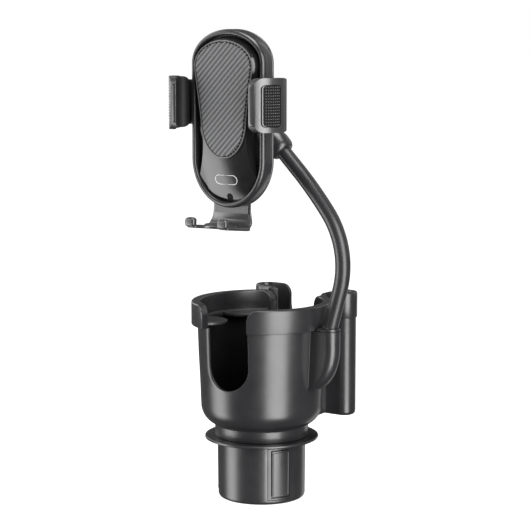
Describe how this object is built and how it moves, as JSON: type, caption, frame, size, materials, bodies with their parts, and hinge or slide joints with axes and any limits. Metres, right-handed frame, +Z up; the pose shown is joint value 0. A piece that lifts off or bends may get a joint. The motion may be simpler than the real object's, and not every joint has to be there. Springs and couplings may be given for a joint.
{
  "type": "car cup holder phone mount",
  "caption": "Phone holder on a gooseneck arm, rising from a cup expander that twists to lock into a car cup holder, with a storage pocket behind the cup.",
  "frame": {"origin": "centre of the base's underside, on the axis of the cup", "axes": "+Z up along the cup's axis, the phone's screen faces -Y, the gooseneck rises on the +X side, the storage pocket is at +Y"},
  "size_m": [0.1286, 0.1423, 0.3485],
  "materials": {
    "satin_black": "moulded ABS, fine satin texture",
    "gloss_black": "polished gloss",
    "soft_black": "matt silicone",
    "weave_grey": "rubber with a fine woven-fibre emboss",
    "zinc_steel": "zinc plated",
    "chrome_ball": "polished"
  },
  "bodies": {
    "base": {"base_barrel": "satin_black", "base_cover": "satin_black", "base_screw_1": "zinc_steel", "base_screw_2": "zinc_steel", "base_screw_3": "zinc_steel"},
    "tab_right": {"tab_right": "satin_black", "tab_pad_right": "soft_black"},
    "tab_rear": {"tab_rear": "satin_black", "tab_pad_rear": "soft_black"},
    "tab_left": {"tab_left": "satin_black", "tab_pad_left": "soft_black"},
    "cup": {"cup_shell": "satin_black", "cup_mat": "soft_black", "cam_disc": "zinc_steel", "centre_bolt": "zinc_steel", "pocket_shell": "satin_black", "arm_socket": "satin_black", "socket_cap": "satin_black", "pocket_screw_1": "zinc_steel", "pocket_screw_2": "zinc_steel", "socket_screw_1": "zinc_steel", "socket_screw_2": "zinc_steel", "fin_ring_right": "soft_black", "fin_ring_left": "soft_black", "neck_sleeve_1": "soft_black", "neck_core_1": "zinc_steel"},
    "fin_1": {"fin_1": "soft_black"},
    "fin_2": {"fin_2": "soft_black"},
    "fin_3": {"fin_3": "soft_black"},
    "fin_4": {"fin_4": "soft_black"},
    "neck_2": {"neck_sleeve_2": "soft_black", "neck_core_2": "zinc_steel"},
    "neck_3": {"neck_sleeve_3": "soft_black", "neck_core_3": "zinc_steel"},
    "neck_4": {"neck_sleeve_4": "soft_black", "neck_core_4": "zinc_steel"},
    "neck_5": {"neck_sleeve_5": "soft_black", "neck_core_5": "zinc_steel", "arm_ferrule": "satin_black", "ball_stud": "chrome_ball"},
    "seat": {"ball_seat": "soft_black"},
    "collet": {"collet_ring": "soft_black"},
    "cradle": {"rear_cover": "satin_black", "front_frame": "satin_black", "face_plate": "gloss_black", "face_pad": "weave_grey", "cradle_screw_1": "zinc_steel", "cradle_screw_2": "zinc_steel", "cradle_screw_3": "zinc_steel", "cradle_screw_4": "zinc_steel", "return_spring": "zinc_steel"},
    "nut": {"swivel_nut": "satin_black"},
    "foot": {"foot": "satin_black", "foot_pad": "soft_black"},
    "clamp_right": {"clamp_right": "satin_black", "jaw_pad_right": "soft_black", "grip_right": "soft_black"},
    "clamp_left": {"clamp_left": "satin_black", "jaw_pad_left": "soft_black", "grip_left": "soft_black"}
  },
  "joints": [
    {"name": "cup_twist", "type": "hinge", "parent": "base", "child": "cup", "pos_m": [0, 0, 0], "axis": [0, 0, 1], "range_deg": [0, 90]},
    {"name": "tab_right_slide", "type": "slide", "parent": "base", "child": "tab_right", "axis": [0.866, -0.5, 0], "range_m": [0, 0.007]},
    {"name": "tab_rear_slide", "type": "slide", "parent": "base", "child": "tab_rear", "axis": [0, 1, 0], "range_m": [0, 0.007]},
    {"name": "tab_left_slide", "type": "slide", "parent": "base", "child": "tab_left", "axis": [-0.866, -0.5, 0], "range_m": [0, 0.007]},
    {"name": "fin_1_fold", "type": "hinge", "parent": "cup", "child": "fin_1", "pos_m": [0.03318, -0.02323, 0.1329], "axis": [-0.5736, -0.8192, 0], "range_deg": [0, 75], "stiffness_Nm_per_rad": 0.01},
    {"name": "fin_2_fold", "type": "hinge", "parent": "cup", "child": "fin_2", "pos_m": [0.03318, 0.02323, 0.1329], "axis": [0.5736, -0.8192, 0], "range_deg": [0, 75], "stiffness_Nm_per_rad": 0.01},
    {"name": "fin_3_fold", "type": "hinge", "parent": "cup", "child": "fin_3", "pos_m": [-0.03318, 0.02323, 0.1329], "axis": [0.5736, 0.8192, 0], "range_deg": [0, 75], "stiffness_Nm_per_rad": 0.01},
    {"name": "fin_4_fold", "type": "hinge", "parent": "cup", "child": "fin_4", "pos_m": [-0.03318, -0.02323, 0.1329], "axis": [-0.5736, 0.8192, 0], "range_deg": [0, 75], "stiffness_Nm_per_rad": 0.01},
    {"name": "neck_bend", "type": "hinge", "parent": "cup", "child": "neck_2", "pos_m": [0.06778, 0, 0.15968], "axis": [0, 1, 0], "range_deg": [-8, 20], "stiffness_Nm_per_rad": 6},
    {"name": "neck_side", "type": "hinge", "parent": "neck_2", "child": "neck_3", "pos_m": [0.06939, 0, 0.19132], "axis": [0.9804, 0, 0.1973], "range_deg": [-18, 18], "stiffness_Nm_per_rad": 6},
    {"name": "neck_bend_upper", "type": "hinge", "parent": "neck_3", "child": "neck_4", "pos_m": [0.0557, 0, 0.21989], "axis": [0, 1, 0], "range_deg": [-8, 20], "stiffness_Nm_per_rad": 6},
    {"name": "neck_side_upper", "type": "hinge", "parent": "neck_4", "child": "neck_5", "pos_m": [0.03616, 0, 0.24263], "axis": [0.7232, 0, 0.6906], "range_deg": [-18, 18], "stiffness_Nm_per_rad": 6},
    {"name": "cradle_yaw", "type": "hinge", "parent": "neck_5", "child": "seat", "pos_m": [0, -0.0205, 0.279], "axis": [0, 0, 1], "range_deg": [-20, 20], "stiffness_Nm_per_rad": 4},
    {"name": "cradle_pitch", "type": "hinge", "parent": "seat", "child": "collet", "pos_m": [0, -0.0205, 0.279], "axis": [1, 0, 0], "range_deg": [-20, 20], "stiffness_Nm_per_rad": 4},
    {"name": "cradle_roll", "type": "hinge", "parent": "collet", "child": "cradle", "pos_m": [0, -0.0205, 0.279], "axis": [0, 1, 0], "continuous": true},
    {"name": "nut_turn", "type": "hinge", "parent": "cradle", "child": "nut", "pos_m": [0, -0.0205, 0.279], "axis": [0, 1, 0], "range_deg": [0, 180]},
    {"name": "foot_lift", "type": "slide", "parent": "cradle", "child": "foot", "axis": [0, 0, 1], "range_m": [-0.007, 0.007], "stiffness_N_per_m": 120, "deforming": ["return_spring"]},
    {"name": "clamp_right_slide", "type": "slide", "parent": "cradle", "child": "clamp_right", "axis": [1, 0, 0], "range_m": [-0.0063, 0.0063]},
    {"name": "clamp_left_slide", "type": "slide", "parent": "cradle", "child": "clamp_left", "axis": [-1, 0, 0], "range_m": [-0.0063, 0.0063]}
  ],
  "couplings": [
    {"joint": "tab_right_slide", "follows": "cup_twist", "m_per_rad": 0.004456},
    {"joint": "tab_rear_slide", "follows": "cup_twist", "m_per_rad": 0.004456},
    {"joint": "tab_left_slide", "follows": "cup_twist", "m_per_rad": 0.004456},
    {"joint": "neck_bend_upper", "follows": "neck_bend", "ratio": 1},
    {"joint": "neck_side_upper", "follows": "neck_side", "ratio": 1},
    {"joint": "clamp_right_slide", "follows": "foot_lift", "ratio": 0.9},
    {"joint": "clamp_left_slide", "follows": "foot_lift", "ratio": 0.9}
  ]
}
